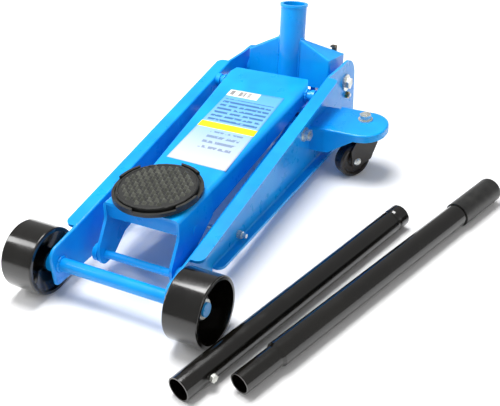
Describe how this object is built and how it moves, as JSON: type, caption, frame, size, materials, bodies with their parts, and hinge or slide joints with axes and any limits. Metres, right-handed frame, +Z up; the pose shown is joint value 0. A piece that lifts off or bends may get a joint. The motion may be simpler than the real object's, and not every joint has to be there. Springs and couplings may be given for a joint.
{
  "type": "hydraulic trolley jack",
  "caption": "Low trolley jack with lift arm, levelled round saddle, tilting handle socket, swivel casters behind and a take-apart handle beside it.",
  "frame": {"origin": "on the floor under the middle of the front axle", "axes": "+Y runs from the saddle end back to the handle socket, +Z is up and +X is to the right of someone facing the saddle end"},
  "size_m": [0.5695, 0.7324, 0.2391],
  "materials": {
    "blue_enamel": "gloss",
    "black_enamel": "gloss",
    "zinc": "satin",
    "yellow_zinc": "satin",
    "machined_steel": "satin",
    "cast_black": "matte",
    "black_rubber": "matte",
    "black_grip": "satin",
    "caster_plastic": "satin"
  },
  "bodies": {
    "chassis": {"side_plate_left": "blue_enamel", "side_plate_right": "blue_enamel", "front_axle": "blue_enamel", "arm_pivot_shaft": "blue_enamel", "tie_rod": "zinc", "unit_cradle": "blue_enamel", "axle_collars": "blue_enamel", "axle_retaining_rings": "zinc", "tie_rod_nuts": "zinc", "ear_bolts": "zinc", "ear_nuts": "yellow_zinc", "link_pivot_bolts": "zinc", "link_bolt_nuts": "zinc", "arm_shaft_spacers": "zinc", "yoke_pivot_bolts": "zinc", "yoke_pivot_washers": "zinc", "yoke_pivot_spacers": "zinc", "yoke_pivot_nuts": "zinc", "unit_block": "blue_enamel", "caster_stubs": "blue_enamel", "caster_arm_left": "blue_enamel", "caster_arm_right": "blue_enamel", "caster_stem_bolts": "zinc", "caster_stem_nuts": "zinc", "caster_swivel_bearings": "zinc"},
    "wheel_left": {"front_wheel_left": "black_enamel"},
    "wheel_right": {"front_wheel_right": "black_enamel"},
    "arm": {"lift_arm": "blue_enamel", "arm_hub_tube": "blue_enamel", "crank_ears": "blue_enamel", "crank_pin": "machined_steel"},
    "bracket": {"saddle_bracket": "blue_enamel", "bracket_brace": "blue_enamel", "bracket_pivot_pins": "zinc", "link_eye_washers": "zinc", "lower_cross_rod": "blue_enamel"},
    "link_left": {"link_rod_left": "blue_enamel"},
    "link_right": {"link_rod_right": "blue_enamel"},
    "saddle_swivel": {"saddle": "cast_black", "saddle_pad": "black_rubber", "saddle_stem_ring": "machined_steel"},
    "ram_slide": {"ram": "machined_steel"},
    "yoke": {"yoke_shell": "blue_enamel", "handle_socket": "blue_enamel", "pump_lever": "blue_enamel", "pump_roller": "machined_steel", "yoke_tab": "machined_steel"},
    "plunger": {"pump_plunger": "machined_steel"},
    "valve": {"release_valve": "machined_steel"},
    "caster_left": {"caster_fork_left": "zinc", "caster_rivet_left": "zinc"},
    "caster_right": {"caster_fork_right": "zinc", "caster_rivet_right": "zinc"},
    "caster_roll_left": {"caster_wheel_left": "caster_plastic"},
    "caster_roll_right": {"caster_wheel_right": "caster_plastic"},
    "handle_lower": {"handle_lower_tube": "black_enamel", "handle_screw": "zinc"},
    "handle_upper": {"handle_upper_tube": "black_enamel", "handle_grip": "black_grip"}
  },
  "joints": [
    {"name": "front_wheel_left_roll", "type": "hinge", "parent": "chassis", "child": "wheel_left", "pos_m": [-0.1337, 0, 0.05], "axis": [1, 0, 0], "continuous": true},
    {"name": "front_wheel_right_roll", "type": "hinge", "parent": "chassis", "child": "wheel_right", "pos_m": [0.1337, 0, 0.05], "axis": [1, 0, 0], "continuous": true},
    {"name": "lift", "type": "hinge", "parent": "chassis", "child": "arm", "pos_m": [0, 0.4586, 0.128], "axis": [-1, 0, 0], "range_deg": [0, 60]},
    {"name": "saddle_level", "type": "hinge", "parent": "arm", "child": "bracket", "pos_m": [0, 0.113, 0.078], "axis": [-1, 0, 0], "range_deg": [-60, 0]},
    {"name": "link_left_swing", "type": "hinge", "parent": "chassis", "child": "link_left", "pos_m": [-0.0705, 0.4025, 0.0885], "axis": [-1, 0, 0], "range_deg": [0, 60]},
    {"name": "link_right_swing", "type": "hinge", "parent": "chassis", "child": "link_right", "pos_m": [0.0705, 0.4025, 0.0885], "axis": [-1, 0, 0], "range_deg": [0, 60]},
    {"name": "saddle_turn", "type": "hinge", "parent": "bracket", "child": "saddle_swivel", "pos_m": [0, 0.1231, 0.1177], "axis": [0, 0, 1], "continuous": true},
    {"name": "ram_stroke", "type": "slide", "parent": "chassis", "child": "ram_slide", "axis": [0, -1, 0], "range_m": [0, 0.0565]},
    {"name": "pump_stroke", "type": "hinge", "parent": "chassis", "child": "yoke", "pos_m": [0, 0.576, 0.1015], "axis": [-1, 0, 0], "range_deg": [-8, 45]},
    {"name": "plunger_stroke", "type": "slide", "parent": "chassis", "child": "plunger", "axis": [0, -1, 0], "range_m": [-0.006, 0.032]},
    {"name": "valve_turn", "type": "hinge", "parent": "chassis", "child": "valve", "pos_m": [-0.032, 0.54, 0.062], "axis": [0, 1, 0], "range_deg": [-180, 90]},
    {"name": "caster_left_swivel", "type": "hinge", "parent": "chassis", "child": "caster_left", "pos_m": [-0.134, 0.4739, 0.085], "axis": [0, 0, 1], "range_deg": [-120, 14]},
    {"name": "caster_right_swivel", "type": "hinge", "parent": "chassis", "child": "caster_right", "pos_m": [0.1754, 0.4739, 0.085], "axis": [0, 0, 1], "continuous": true},
    {"name": "caster_left_roll", "type": "hinge", "parent": "caster_left", "child": "caster_roll_left", "pos_m": [-0.14047, 0.44975, 0.03], "axis": [0.9659, -0.2588, 0], "continuous": true},
    {"name": "caster_right_roll", "type": "hinge", "parent": "caster_right", "child": "caster_roll_right", "pos_m": [0.16178, 0.45293, 0.03], "axis": [0.8387, -0.5446, 0], "continuous": true},
    {"name": "handle_lower_lift", "type": "slide", "parent": "chassis", "child": "handle_lower", "axis": [0, 0, 1], "range_m": [0, 0.3]},
    {"name": "handle_upper_lift", "type": "slide", "parent": "chassis", "child": "handle_upper", "axis": [0, 0, 1], "range_m": [0, 0.3]}
  ],
  "couplings": [
    {"joint": "saddle_level", "follows": "lift", "ratio": -1},
    {"joint": "link_left_swing", "follows": "lift", "ratio": 1},
    {"joint": "link_right_swing", "follows": "lift", "ratio": 1},
    {"joint": "ram_stroke", "follows": "lift", "m_per_rad": 0.05386},
    {"joint": "plunger_stroke", "follows": "pump_stroke", "m_per_rad": 0.04}
  ]
}
